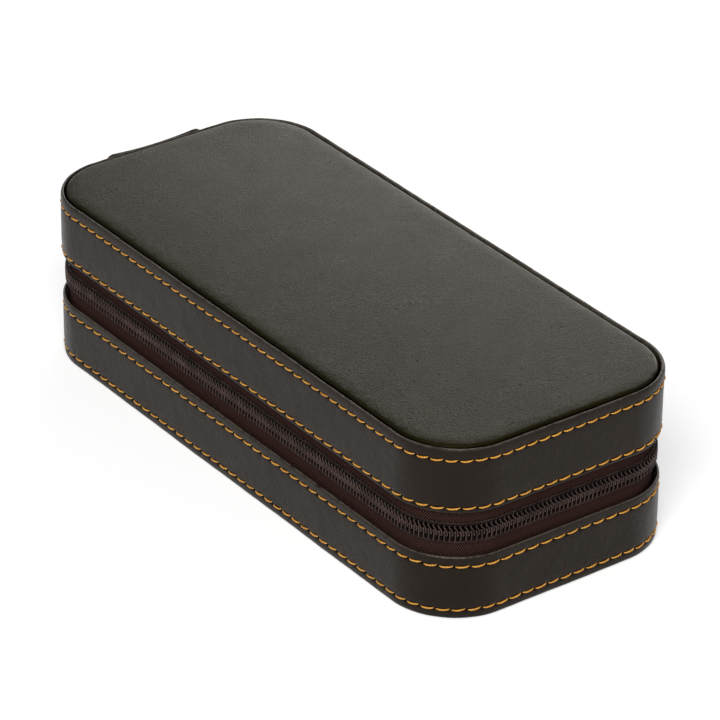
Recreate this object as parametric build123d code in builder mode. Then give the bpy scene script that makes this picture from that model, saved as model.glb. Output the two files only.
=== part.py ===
"""Zip-around travel case for two wristwatches.

A shallow leather-covered base and lid of the same depth, joined by a leather hinge flap at the
back (+Y) and closed by a coil zip that runs round the other three sides. Millimetres, +Z up, the
case's length along Y, origin at the middle of the underside.
"""

import os
from math import cos, pi, sin

from build123d import *

# Outside of the closed case
case_length = 190.0
case_width = 83.0
corner_radius = 20.0
base_depth = 18.6
lid_depth = 18.6
zip_gap = 13.2

# Leather skins
band_thickness = 1.9
band_edge_round = 0.85
rim_thickness = 1.1
band_mouth_bevel = 0.6
panel_groove = 0.35
bottom_panel_thickness = 1.4
bottom_panel_bevel = 0.4
top_panel_recess = 0.7
top_panel_edge = 1.5
top_panel_crown = 1.6
top_panel_slope = 12.0
crown_steps = 4

# Boards and linings
board_thickness = 2.0
lining_thickness = 0.7
seat_clearance = 0.05

# Zip tapes and coils
tape_thickness = 0.5
tape_tuck = 7.0
tape_edge_gap = 1.2
coil_height = 1.1
coil_to_tape = 0.1
coil_width = 6.0
tooth_pitch = 1.37
tooth_width = 0.44
tooth_height = 1.0
tooth_overlap = 1.4
tooth_tip_clearance = 0.2
tooth_shift = 0.25
stop_length = 1.8
stop_split = 0.6
stop_height = 1.25

# Leather hinge flap and the ribbon behind it
flap_width = 33.0
flap_thickness = 1.6
flap_margin = 0.7
flap_rise = 0.3
flap_corner = 3.0
flap_dip = 0.45
flap_split = 0.3
tape_end_tuck = 4.5
ribbon_side_gap = 0.1

# Zip slider
slider_length = 11.0
slider_plate = 1.0
slider_inner_plate = 0.9
slider_clearance = 0.2
slider_lip = 0.6
slider_shoulder_flare = 0.7
slider_corner_round = 1.0
slider_edge_round = 0.33
slider_wedge_length = 3.4
slider_wedge_flat = 1.1
slider_wedge_width = 1.9
slider_stop_gap = 0.3
slider_tail_gap = 0.4
bridge_length = 7.4
bridge_width = 2.4
bridge_strap = 0.9
bridge_tunnel = 1.8

# Pull tab
pull_bar_diameter = 1.2
pull_thickness = 1.2
pull_arm_width = 1.1
pull_arm_clearance = 0.25
pull_head_gap = 1.9
pull_tail = 18.4
pull_tip_width = 6.4
pull_tip_round = 2.6
pull_hole_width = 2.6
pull_hole_length = 7.0
pull_hole_margin = 2.4

# Watch cushions, the divider between them and the pad in the lid
strap_gap = 6.25
pillow_end_gap = 9.0
watch_room = 14.2
pillow_side_bulge = 4.5
pillow_shoulder = 3.1
pillow_end_drop = 8.5
pillow_end_narrowing = 8.0
pillow_end_sharpness = 5
pillow_steps = 8
pillow_floor_gap = 0.1
divider_thickness = 3.0
divider_height = 19.0
divider_fit = 0.25
divider_edge_round = 0.75
scoop_radius = 16.0
scoop_depth = 7.0
lid_pad_thickness = 3.2
lid_pad_crown = 1.2
lid_pad_fit = 0.3
lid_pad_slope = 9.0

# Levels and insets that follow from the sizes above
case_height = base_depth + zip_gap + lid_depth
mid_height = base_depth + zip_gap / 2
lid_bottom = base_depth + zip_gap
panel_inset = band_thickness + panel_groove
tape_inset = band_thickness + seat_clearance
board_inset = tape_inset + tape_thickness + seat_clearance
lining_inset = board_inset + board_thickness + seat_clearance
room_inset = lining_inset + lining_thickness
board_floor = bottom_panel_thickness + seat_clearance
lining_floor = board_floor + board_thickness + seat_clearance
room_floor = lining_floor + lining_thickness
top_panel_inset = rim_thickness + panel_groove
top_panel_seat = case_height - top_panel_recess - top_panel_edge
board_ceiling = top_panel_seat - seat_clearance
lining_ceiling = board_ceiling - board_thickness - seat_clearance
room_ceiling = lining_ceiling - lining_thickness
lid_pad_top = room_ceiling - seat_clearance
lid_pad_face = lid_pad_top - lid_pad_thickness - lid_pad_crown
back = case_length / 2
side = case_width / 2
side_run = case_length - 2 * corner_radius
front_run = case_width - 2 * corner_radius
run_end = side_run / 2
tape_end = flap_width / 2 - tape_end_tuck

coil_inner_inset = tape_inset - coil_to_tape
coil_outer_inset = coil_inner_inset - coil_height
coil_middle_inset = (coil_inner_inset + coil_outer_inset) / 2
tooth_tip = tooth_overlap / 2
tooth_root = tooth_tip + tooth_tip_clearance
stop_width = (coil_width - stop_split) / 2

slider_front = run_end - stop_length - slider_stop_gap
slider_middle = slider_front - slider_length / 2
slider_tail = slider_front - slider_length
slider_neck_width = tape_edge_gap - 2 * slider_clearance
side_chain_end = slider_tail - slider_tail_gap
side_chain = side_chain_end + run_end
plate_back = side - coil_outer_inset + slider_clearance
lip_inner = side - tape_inset + slider_clearance
inner_plate_face = side - tape_inset - tape_thickness - slider_clearance
slider_skin = plate_back + slider_plate
bar_middle = slider_skin + bridge_tunnel / 2

bay_length = (case_length - 2 * room_inset - divider_thickness) / 2
bay_middle = (divider_thickness + bay_length) / 2
pillow_base = room_floor + pillow_floor_gap
pillow_width = case_width - 2 * room_inset - 2 * strap_gap
pillow_length = bay_length - 2 * pillow_end_gap
pillow_height = lid_pad_face - watch_room - pillow_base


def plan(inset):
    """Width, length and corner radius of the case's outline, moved in by inset."""
    return case_width - 2 * inset, case_length - 2 * inset, corner_radius - inset


def ring(outer_inset, inner_inset):
    """A band of the case's outline between two insets, added to the current sketch."""
    RectangleRounded(*plan(outer_inset))
    RectangleRounded(*plan(inner_inset), mode=Mode.SUBTRACT)


def side_band(rim, mouth, rebate=0):
    """Leather band round the sides, its edge rolled at the rim and bevelled at the zip's mouth.

    A rebate of some depth thins the inside of the rim for a panel's edge to lie in.
    """
    with BuildPart() as band:
        with BuildSketch(Plane.XY.offset(rim)):
            ring(0, band_thickness)
        extrude(amount=mouth - rim)
        if rebate:
            with BuildSketch(Plane.XY.offset(rim - rebate)):
                ring(rim_thickness, 2 * band_thickness)
            extrude(amount=2 * rebate, mode=Mode.SUBTRACT)
        ends = band.faces().filter_by(Axis.Z).sort_by(Axis.Z, reverse=mouth < rim)
        fillet(ends[0].outer_wire().edges(), band_edge_round)
        chamfer(ends[-1].outer_wire().edges(), band_mouth_bevel)
    return band


def tray(inset, floor, thickness, rim):
    """Open tray with its floor at one level and its rim at another, above or below it."""
    up = 1 if rim > floor else -1
    with BuildPart() as shell:
        with BuildSketch(Plane.XY.offset(floor)):
            RectangleRounded(*plan(inset))
        extrude(amount=rim - floor)
        mouth = shell.faces().sort_by(Axis.Z)[-1 if up > 0 else 0]
        offset(amount=-thickness, openings=mouth)
    return shell


def crowned_panel(inset, seat, edge, crown, slope):
    """Panel with a straight edge and a face that rises in a quarter ellipse to its flat middle.

    A negative edge and crown make the same panel hanging down from its seat.
    """
    with BuildPart() as panel:
        with BuildSketch(Plane.XY.offset(seat)):
            RectangleRounded(*plan(inset))
        extrude(amount=edge)
        for step in range(crown_steps + 1):
            angle = pi / 2 * step / crown_steps
            with BuildSketch(Plane.XY.offset(seat + edge + crown * sin(angle))):
                RectangleRounded(*plan(inset + slope * (1 - cos(angle))))
        loft(ruled=True)
    return panel


def zip_tape(bottom, top):
    """Woven tape round the sides and front, with both ends tucked under the hinge flap."""
    with BuildPart() as tape:
        with BuildSketch(Plane.XY.offset(bottom)):
            ring(tape_inset, tape_inset + tape_thickness)
            with Locations((0, back)):
                Rectangle(2 * tape_end, 2 * corner_radius, mode=Mode.SUBTRACT)
        extrude(amount=top - bottom)
    return tape


def straight_teeth(run, shift):
    """Tooth footprints along the current location's Y axis, shifted by a share of the pitch."""
    count = round(run / tooth_pitch)
    step = run / count
    with Locations((0, shift * step)):
        with GridLocations(0, step, 1, count):
            Rectangle(tooth_height, tooth_width)


def corner_teeth(start_angle, shift):
    """Tooth footprints round one corner of the case, about the current location."""
    radius = corner_radius - coil_middle_inset
    count = round(radius * pi / 2 / tooth_pitch)
    step = 90 / count
    with PolarLocations(radius, count, start_angle + (0.5 + shift) * step, 90):
        Rectangle(tooth_height, tooth_width)


def coil_chain(strip_bottom, strip_top, tip, shift):
    """Half of the zip's coil from the back left corner round to the front right corner."""
    root = strip_top if tip > strip_top else strip_bottom
    with BuildPart() as chain:
        with BuildSketch(Plane.XY.offset(strip_bottom)):
            ring(coil_outer_inset, coil_inner_inset)
            with Locations((0, -run_end), (-front_run / 2, 0)):
                Rectangle(case_width, case_length, align=(Align.MIN, Align.MIN), mode=Mode.SUBTRACT)
        extrude(amount=strip_top - strip_bottom)
        with BuildSketch(Plane.XY.offset(root)):
            with Locations((-front_run / 2, run_end)):
                corner_teeth(90, shift)
            with Locations(Location((-side + coil_middle_inset, 0), 180)):
                straight_teeth(side_run, shift)
            with Locations((-front_run / 2, -run_end)):
                corner_teeth(180, shift)
            with Locations(Location((0, -back + coil_middle_inset), -90)):
                straight_teeth(front_run, shift)
            with Locations((front_run / 2, -run_end)):
                corner_teeth(270, shift)
        extrude(amount=tip - root)
    return chain


def side_coil_chain(strip_bottom, strip_top, tip, shift):
    """Half of the zip's coil along the right side, up to the parked slider."""
    root = strip_top if tip > strip_top else strip_bottom
    middle = (side - coil_middle_inset, side_chain_end - side_chain / 2)
    with BuildPart() as chain:
        with BuildSketch(Plane.XY.offset(strip_bottom)):
            with Locations(middle):
                Rectangle(coil_height, side_chain)
        extrude(amount=strip_top - strip_bottom)
        with BuildSketch(Plane.XY.offset(root)):
            with Locations(middle):
                straight_teeth(side_chain, shift)
        extrude(amount=tip - root)
    return chain


def zip_stops(bottom):
    """The two end stops on one tape: at the back left corner and behind the slider."""
    reach = -coil_inner_inset + stop_height / 2
    with BuildPart() as stops:
        with BuildSketch(Plane.XY.offset(bottom)):
            with Locations((-front_run / 2 + stop_length / 2, back + reach)):
                Rectangle(stop_length, stop_height)
            with Locations((side + reach, run_end - stop_length / 2)):
                Rectangle(stop_height, stop_length)
        extrude(amount=stop_width)
    return stops


def flap_half(free_end, split):
    """Half of the hinge flap; its free edge dips a little between rounded corners."""
    outward = 1 if free_end > split else -1
    half = flap_width / 2
    with BuildPart() as flap:
        with BuildSketch(Plane.XZ.offset(-back - seat_clearance)) as outline:
            with BuildLine():
                Polyline((-half, free_end), (-half, split), (half, split), (half, free_end))
                ThreePointArc((half, free_end), (0, free_end - outward * flap_dip), (-half, free_end))
            make_face()
            fillet(outline.vertices().group_by(Axis.Y)[-1 if outward > 0 else 0], flap_corner)
        extrude(amount=-flap_thickness)
    return flap


def ribbon_half(bottom, top):
    """Half of the ribbon that closes the gap behind the flap, between the zip tape's ends."""
    with BuildPart() as ribbon:
        with BuildSketch(Plane.XY.offset(bottom)):
            with Locations((0, back - tape_inset)):
                Rectangle(2 * (tape_end - ribbon_side_gap), tape_thickness, align=(Align.CENTER, Align.MAX))
        extrude(amount=top - bottom)
    return ribbon


def pillow(middle):
    """Watch cushion: flat underneath, crowned on top, its ends drawn in and lower.

    Its sections stand closer together towards the ends, and each is drawn in by its distance
    from the middle, raised to a power that keeps the long middle part full.
    """
    with BuildPart() as cushion:
        for step in range(pillow_steps + 1):
            station = cos(pi * step / pillow_steps)
            draw = abs(station) ** pillow_end_sharpness
            half_width = (pillow_width - pillow_end_narrowing * draw) / 2
            foot = half_width - pillow_side_bulge
            top = pillow_base + pillow_height - pillow_end_drop * draw
            shoulder = top - pillow_shoulder
            waist = (pillow_base + shoulder) / 2
            with BuildSketch(Plane.XZ.offset(-middle - station * pillow_length / 2)):
                with BuildLine():
                    Line((-foot, pillow_base), (foot, pillow_base))
                    ThreePointArc((foot, pillow_base), (half_width, waist), (foot, shoulder))
                    ThreePointArc((foot, shoulder), (0, top), (-foot, shoulder))
                    ThreePointArc((-foot, shoulder), (-half_width, waist), (-foot, pillow_base))
                make_face()
        loft(ruled=True)
    return cushion


# Base: board tray, leather band and panel, fabric lining
base_shell = tray(board_inset, board_floor, board_thickness, base_depth)
base_side_band = side_band(0, base_depth)
base_lining = tray(lining_inset, lining_floor, lining_thickness, base_depth)

with BuildPart() as base_bottom_panel:
    with BuildSketch():
        RectangleRounded(*plan(panel_inset))
    extrude(amount=bottom_panel_thickness)
    underside = base_bottom_panel.faces().sort_by(Axis.Z)[0]
    chamfer(underside.edges(), bottom_panel_bevel)

# Lid: the same pieces upside down, with a padded leather top and a soft pad inside
lid_shell = tray(board_inset, board_ceiling, board_thickness, lid_bottom)
lid_side_band = side_band(
    case_height, lid_bottom, rebate=case_height - top_panel_seat + seat_clearance
)
lid_lining = tray(lining_inset, lining_ceiling, lining_thickness, lid_bottom)
lid_top_panel = crowned_panel(
    top_panel_inset, top_panel_seat, top_panel_edge, top_panel_crown, top_panel_slope
)
lid_pad = crowned_panel(
    room_inset + lid_pad_fit, lid_pad_top, -lid_pad_thickness, -lid_pad_crown, lid_pad_slope
)

# Room for two watches, each closed round its own cushion, with a divider between
front_pillow = pillow(-bay_middle)
back_pillow = pillow(bay_middle)

with BuildPart() as centre_divider:
    with BuildSketch(Plane.XZ.offset(-divider_thickness / 2)):
        with Locations((0, room_floor + seat_clearance)):
            Rectangle(
                case_width - 2 * room_inset - 2 * divider_fit,
                divider_height,
                align=(Align.CENTER, Align.MIN),
            )
        with Locations((0, room_floor + seat_clearance + divider_height + scoop_radius - scoop_depth)):
            Circle(scoop_radius, mode=Mode.SUBTRACT)
    extrude(amount=divider_thickness)
    fillet(centre_divider.edges().filter_by(Axis.Z), divider_edge_round)

# Zip tapes and coils
base_zip_tape = zip_tape(base_depth - tape_tuck, mid_height - tape_edge_gap / 2)
lid_zip_tape = zip_tape(mid_height + tape_edge_gap / 2, lid_bottom + tape_tuck)
base_strip = (mid_height - coil_width / 2, mid_height - tooth_root, mid_height + tooth_tip)
lid_strip = (mid_height + tooth_root, mid_height + coil_width / 2, mid_height - tooth_tip)
base_zip_coil = coil_chain(*base_strip, -tooth_shift)
lid_zip_coil = coil_chain(*lid_strip, tooth_shift)
base_zip_coil_side = side_coil_chain(*base_strip, -tooth_shift)
lid_zip_coil_side = side_coil_chain(*lid_strip, tooth_shift)
base_zip_stops = zip_stops(mid_height - coil_width / 2)
lid_zip_stops = zip_stops(mid_height + coil_width / 2 - stop_width)

# Hinge flap on the back, and the ribbon behind it
hinge_flap_base = flap_half(flap_margin, mid_height - flap_split / 2)
hinge_flap_lid = flap_half(case_height + flap_rise, mid_height + flap_split / 2)
hinge_ribbon_base = ribbon_half(base_depth - tape_tuck, mid_height - flap_split / 2)
hinge_ribbon_lid = ribbon_half(mid_height + flap_split / 2, lid_bottom + tape_tuck)

# Slider: two plates joined by a neck at the wide end, where the wedge parts the coil
with BuildPart() as zip_slider_body:
    channel_half = coil_width / 2 + slider_clearance
    outlines = []
    for lip in (slider_lip, 0):
        tail_half = channel_half + lip
        front_half = tail_half + slider_shoulder_flare
        outlines.append(
            [
                (slider_tail, mid_height - tail_half),
                (slider_front, mid_height - front_half),
                (slider_front, mid_height + front_half),
                (slider_tail, mid_height + tail_half),
            ]
        )
    plate_outline, channel_outline = outlines
    with BuildSketch(Plane.YZ.offset(plate_back)) as outer_plate:
        Polygon(*plate_outline, align=None)
        fillet(outer_plate.vertices(), slider_corner_round)
    extrude(amount=slider_plate)
    with BuildSketch(Plane.YZ.offset(inner_plate_face)) as inner_plate:
        Polygon(*plate_outline, align=None)
        fillet(inner_plate.vertices(), slider_corner_round)
    extrude(amount=-slider_inner_plate)
    with BuildSketch(Plane.YZ.offset(plate_back)):
        Polygon(*plate_outline, align=None)
        Polygon(*channel_outline, align=None, mode=Mode.SUBTRACT)
    extrude(amount=lip_inner - plate_back)
    with BuildSketch(Plane.YZ.offset(plate_back)):
        Polygon(
            (slider_front - slider_wedge_length, mid_height),
            (slider_front - slider_wedge_flat, mid_height - slider_wedge_width / 2),
            (slider_front, mid_height - slider_wedge_width / 2),
            (slider_front, mid_height + slider_wedge_width / 2),
            (slider_front - slider_wedge_flat, mid_height + slider_wedge_width / 2),
            align=None,
        )
    extrude(amount=side - coil_inner_inset - plate_back)
    with BuildSketch(Plane.YZ.offset(plate_back)):
        with Locations((slider_front, mid_height)):
            Rectangle(slider_wedge_length - slider_wedge_flat, slider_neck_width, align=(Align.MAX, Align.CENTER))
    extrude(amount=inner_plate_face - plate_back)
    skin = zip_slider_body.faces().sort_by(Axis.X)[-1]
    fillet(skin.edges(), slider_edge_round)

with BuildPart() as zip_slider_bridge:
    with BuildSketch(Plane.XY.offset(mid_height - bridge_width / 2)):
        with Locations((slider_skin, slider_middle)):
            Rectangle(bridge_tunnel + bridge_strap, bridge_length, align=(Align.MIN, Align.CENTER))
            Rectangle(
                bridge_tunnel,
                bridge_length - 2 * bridge_strap,
                align=(Align.MIN, Align.CENTER),
                mode=Mode.SUBTRACT,
            )
    extrude(amount=bridge_width)
    upright_edges = zip_slider_bridge.edges().filter_by(Axis.Z)
    fillet(upright_edges.sort_by(Axis.X)[-2:], bridge_strap)

# Pull tab: its bar runs through the bridge, its arms pass either side of it
with BuildPart() as zip_pull_tab:
    arm_inner = bridge_width / 2 + pull_arm_clearance
    arm_outer = arm_inner + pull_arm_width
    arm_length = bridge_length / 2 + pull_head_gap
    head_start = slider_middle - arm_length
    tip = head_start - pull_tail
    with BuildSketch(Plane.YZ.offset(bar_middle - pull_thickness / 2)) as tab_outline:
        for level in (mid_height - arm_outer, mid_height + arm_inner):
            with Locations((head_start, level)):
                Rectangle(arm_length, pull_arm_width, align=(Align.MIN, Align.MIN))
        Polygon(
            (head_start, mid_height - arm_outer),
            (head_start, mid_height + arm_outer),
            (tip, mid_height + pull_tip_width / 2),
            (tip, mid_height - pull_tip_width / 2),
            align=None,
        )
        fillet(tab_outline.vertices().group_by(Axis.X)[0], pull_tip_round)
        with Locations((tip + pull_hole_margin + pull_hole_length / 2, mid_height)):
            SlotOverall(pull_hole_length, pull_hole_width, mode=Mode.SUBTRACT)
    extrude(amount=pull_thickness)
    with BuildSketch(Plane.XY.offset(mid_height - arm_outer)):
        with Locations((bar_middle, slider_middle)):
            Circle(pull_bar_diameter / 2)
    extrude(amount=2 * arm_outer)

pieces = {
    "base_shell": base_shell,
    "base_side_band": base_side_band,
    "base_bottom_panel": base_bottom_panel,
    "base_lining": base_lining,
    "lid_shell": lid_shell,
    "lid_side_band": lid_side_band,
    "lid_top_panel": lid_top_panel,
    "lid_lining": lid_lining,
    "lid_pad": lid_pad,
    "front_pillow": front_pillow,
    "back_pillow": back_pillow,
    "centre_divider": centre_divider,
    "base_zip_tape": base_zip_tape,
    "lid_zip_tape": lid_zip_tape,
    "base_zip_coil": base_zip_coil,
    "lid_zip_coil": lid_zip_coil,
    "base_zip_coil_side": base_zip_coil_side,
    "lid_zip_coil_side": lid_zip_coil_side,
    "base_zip_stops": base_zip_stops,
    "lid_zip_stops": lid_zip_stops,
    "hinge_flap_base": hinge_flap_base,
    "hinge_flap_lid": hinge_flap_lid,
    "hinge_ribbon_base": hinge_ribbon_base,
    "hinge_ribbon_lid": hinge_ribbon_lid,
    "zip_slider_body": zip_slider_body,
    "zip_slider_bridge": zip_slider_bridge,
    "zip_pull_tab": zip_pull_tab,
}

os.makedirs("parts", exist_ok=True)
for name, piece in pieces.items():
    piece.part.label = name
    export_step(piece.part, f"parts/{name}.step")
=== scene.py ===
"""Looks of the zip-around watch travel case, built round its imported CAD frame.

Every surface is worked out with numpy from the case's own sizes, in metres: a section carried
round the rounded outline (bands, tapes, linings), rings moved in from the outline and scaled to
the middle (padded panels), a slab between two edge curves (hinge flap, divider) or a tube along a
path (thread, coil). t is always the distance round the outline, from the middle of the back.
"""

import math

import bmesh
import bpy
import numpy as np
from mathutils import Euler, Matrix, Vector


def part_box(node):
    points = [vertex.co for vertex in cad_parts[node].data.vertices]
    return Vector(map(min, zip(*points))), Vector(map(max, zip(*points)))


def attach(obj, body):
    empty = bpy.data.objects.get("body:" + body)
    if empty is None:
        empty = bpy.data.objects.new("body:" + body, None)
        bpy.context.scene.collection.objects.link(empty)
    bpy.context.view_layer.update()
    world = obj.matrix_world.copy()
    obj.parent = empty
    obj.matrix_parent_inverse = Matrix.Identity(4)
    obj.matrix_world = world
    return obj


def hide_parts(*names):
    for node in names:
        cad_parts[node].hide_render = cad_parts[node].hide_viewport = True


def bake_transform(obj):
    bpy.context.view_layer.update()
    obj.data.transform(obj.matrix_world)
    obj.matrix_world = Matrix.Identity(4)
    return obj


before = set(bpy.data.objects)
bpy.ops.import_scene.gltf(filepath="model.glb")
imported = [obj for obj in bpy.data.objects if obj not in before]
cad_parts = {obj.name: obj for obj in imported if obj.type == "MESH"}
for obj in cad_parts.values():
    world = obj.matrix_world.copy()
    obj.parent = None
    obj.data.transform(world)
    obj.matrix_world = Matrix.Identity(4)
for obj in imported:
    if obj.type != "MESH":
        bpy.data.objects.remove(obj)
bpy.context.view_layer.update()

MM = 0.001
TURN = 2 * math.pi
WELD = 1e-7  # points nearer than this are one

# Outside of the closed case, as in the frame
LENGTH = 190 * MM
WIDTH = 83 * MM
CORNER = 20 * MM
SIDE_RUN = LENGTH - 2 * CORNER
FRONT_RUN = WIDTH - 2 * CORNER
QUARTER = CORNER * math.pi / 2
PERIMETER = 2 * (SIDE_RUN + FRONT_RUN) + 4 * QUARTER

BASE_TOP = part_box("base_side_band")[1].z
LID_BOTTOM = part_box("lid_side_band")[0].z
LID_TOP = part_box("lid_side_band")[1].z
MIDDLE = (BASE_TOP + LID_BOTTOM) / 2
BAND = 1.9 * MM
ROOM_INSET = 5.25 * MM
LINING_THICK = 0.7 * MM

# Distances round the outline, from the middle of the back over the left side to the right
LEFT_START = FRONT_RUN / 2 + QUARTER
FRONT_START = LEFT_START + SIDE_RUN + QUARTER
RIGHT_START = FRONT_START + FRONT_RUN + QUARTER
CHAIN_START = FRONT_RUN / 2
CHAIN_END = RIGHT_START + (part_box("base_zip_coil_side")[1].y + SIDE_RUN / 2)
TAPE_END = 12 * MM
FLAP_HALF = 16.5 * MM

chance = np.random.default_rng(17)


# ------------------------------ outline and meshes


def outline(distance):
    """Points and outward directions of the case's outline at distances round it.

    Each stretch is an arc centre plus the corner radius along the outward direction; on a straight
    run the centre slides along the tangent, on a corner the direction turns by distance / radius.
    """
    runs = [FRONT_RUN / 2, QUARTER, SIDE_RUN, QUARTER, FRONT_RUN, QUARTER, SIDE_RUN, QUARTER, FRONT_RUN / 2]
    starts = np.concatenate([[0], np.cumsum(runs)[:-1]])
    x, y = FRONT_RUN / 2, SIDE_RUN / 2
    centres = np.array([(0, y), (-x, y), (-x, y), (-x, -y), (-x, -y), (x, -y), (x, -y), (x, y), (x, y)])
    angles = np.radians([90, 90, 180, 180, 270, 270, 360, 360, 450])
    straight = np.array([1, 0, 1, 0, 1, 0, 1, 0, 1])
    distance = np.mod(np.asarray(distance, float), PERIMETER)
    stretch = np.clip(np.searchsorted(starts, distance, side="right") - 1, 0, 8)
    along = distance - starts[stretch]
    angle = angles[stretch] + (1 - straight[stretch]) * along / CORNER
    outward = np.stack([np.cos(angle), np.sin(angle)], -1)
    tangent = np.stack([-outward[..., 1], outward[..., 0]], -1)
    slide = (straight[stretch] * along)[..., None]
    return centres[stretch] + CORNER * outward + slide * tangent, outward


def round_points(distance, inset, height):
    """Points at distances round the outline, moved in by inset, at a height."""
    distance, inset, height = np.broadcast_arrays(distance, inset, height)
    point, outward = outline(distance)
    return np.concatenate([point - inset[..., None] * outward, height[..., None]], -1)


def stations(count, start=0.0, end=PERIMETER):
    """Distances round the outline, closed if they go all the way round."""
    whole = abs(end - start - PERIMETER) < 1e-9
    return np.linspace(start, end, count, endpoint=not whole)


def surface(name, points, around=False, across=False, flip=False, laid=None, values=None):
    """Mesh of a grid of points, its first index around, its second across.

    around and across close the grid on itself. laid gives the grid's own two coordinates for the
    UV map, in metres, and values gives named numbers per point.
    """
    rows, columns = points.shape[:2]
    along_rows = np.arange(rows if around else rows - 1)
    along_columns = np.arange(columns if across else columns - 1)
    i, j = np.meshgrid(along_rows, along_columns, indexing="ij")
    i, j = i.ravel(), j.ravel()
    corner_i = np.stack([i, i + 1, i + 1, i], 1)
    corner_j = np.stack([j, j, j + 1, j + 1], 1)
    if flip:
        corner_i, corner_j = corner_i[:, ::-1], corner_j[:, ::-1]
    mesh = bpy.data.meshes.new(name)
    mesh.from_pydata(points.reshape(-1, 3), [], (corner_i % rows) * columns + corner_j % columns)
    if laid is None:
        laid = (np.arange(rows + 1) / rows, np.arange(columns + 1) / columns)
    u, v = laid
    spread = np.stack([u[corner_i], v[corner_j]], -1).reshape(-1)
    mesh.uv_layers.new(name="laid").data.foreach_set("uv", spread.astype(np.float32))
    for key, value in (values or {}).items():
        layer = mesh.attributes.new(key, "FLOAT", "POINT")
        layer.data.foreach_set("value", np.broadcast_to(value, (rows, columns)).ravel().astype(np.float32))
    return finished(name, mesh)


def finished(name, mesh):
    """Object of a mesh, its doubled points welded, its faces smooth."""
    work = bmesh.new()
    work.from_mesh(mesh)
    bmesh.ops.remove_doubles(work, verts=work.verts, dist=WELD)
    work.to_mesh(mesh)
    work.free()
    mesh.polygons.foreach_set("use_smooth", np.ones(len(mesh.polygons), bool))
    mesh.update()
    piece = bpy.data.objects.new(name, mesh)
    bpy.context.scene.collection.objects.link(piece)
    return piece


def lengths(points):
    """Running length along a line of points."""
    steps = np.linalg.norm(np.diff(points, axis=0), axis=1)
    return np.concatenate([[0], np.cumsum(steps)])


def arc(centre, radii, start, end, count):
    """Points of an ellipse quarter or more, angles in degrees from the first axis."""
    angle = np.radians(np.linspace(start, end, count))
    return np.stack([centre[0] + radii[0] * np.cos(angle), centre[1] + radii[1] * np.sin(angle)], -1)


def bell(distance, width):
    """Bell curve of a distance, 1 at nought."""
    return np.exp(-((distance / width) ** 2))


def rolled(edge, reach):
    """Rise from 0 to 1 over an ellipse quarter that is reach wide, by the distance from the edge."""
    return np.sqrt(1 - (1 - np.minimum(edge / reach, 1)) ** 2)


def squarish(wave, power):
    """A wave from -1 to 1 squared off by a power below 1, its sign kept."""
    return np.sign(wave) * np.abs(wave) ** power


def scaled_rings(ring, shares):
    """Copies of a ring of points, scaled to the middle of the plan by each of the shares."""
    return [ring * np.array([share, share, 1]) for share in shares]


def tubes(name, path, across, radius, sides=6, flat=1.0):
    """Round threads along paths, all with as many points, given as an array of path, point, xyz.

    A ring of sides points stands square to the path at each point; across is the direction that
    the rings' first point leans to. The rings are flattened by flat along their second direction.
    """
    path = np.asarray(path, float)
    tangent = np.gradient(path, axis=1)
    tangent /= np.linalg.norm(tangent, axis=2, keepdims=True)
    first = across - (across * tangent).sum(2, keepdims=True) * tangent
    first /= np.linalg.norm(first, axis=2, keepdims=True)
    second = np.cross(tangent, first)
    angle = TURN * np.arange(sides) / sides
    radius = np.broadcast_to(radius, path.shape[:2])[..., None, None]
    level, upright = np.cos(angle)[:, None], flat * np.sin(angle)[:, None]
    points = path[:, :, None] + radius * (first[:, :, None] * level + second[:, :, None] * upright)
    count, rings = path.shape[:2]
    r, s = np.meshgrid(np.arange(rings - 1), np.arange(sides), indexing="ij")
    r, s = r.ravel(), s.ravel()
    here, ahead, beside = r * sides, (r + 1) * sides, (s + 1) % sides
    ring_faces = np.stack([here + s, ahead + s, ahead + beside, here + beside], 1)
    k = np.arange(0, sides - 2, 2)
    cap = np.stack([np.zeros_like(k), k + 1, k + 2, np.minimum(k + 3, sides - 1)], 1)
    ends = np.concatenate([cap, cap[:, ::-1] + (rings - 1) * sides])
    one = np.concatenate([ring_faces[:, ::-1], ends[:, ::-1]])
    faces = (one[None] + (np.arange(count) * rings * sides)[:, None, None]).reshape(-1, 4)
    mesh = bpy.data.meshes.new(name)
    mesh.from_pydata(points.reshape(-1, 3), [], faces)
    ring_length = np.stack([r, r + 1, r + 1, r], 1)[:, ::-1] / (rings - 1)
    ring_turn = np.stack([s, s, s + 1, s + 1], 1)[:, ::-1] / sides
    one_spread = np.concatenate([np.stack([ring_length, ring_turn], -1), np.zeros((len(ends), 4, 2))])
    spread = np.broadcast_to(one_spread, (count, *one_spread.shape)).reshape(-1)
    mesh.uv_layers.new(name="laid").data.foreach_set("uv", spread.astype(np.float32))
    return finished(name, mesh)


# ------------------------------ materials


def material(name, **sockets):
    """A node material with its shader's own sockets set by name."""
    made = bpy.data.materials.new(name)
    made.use_nodes = True
    shader = made.node_tree.nodes["Principled BSDF"]
    for socket, value in sockets.items():
        shader.inputs[socket.replace("_", " ")].default_value = value
    return made


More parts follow.
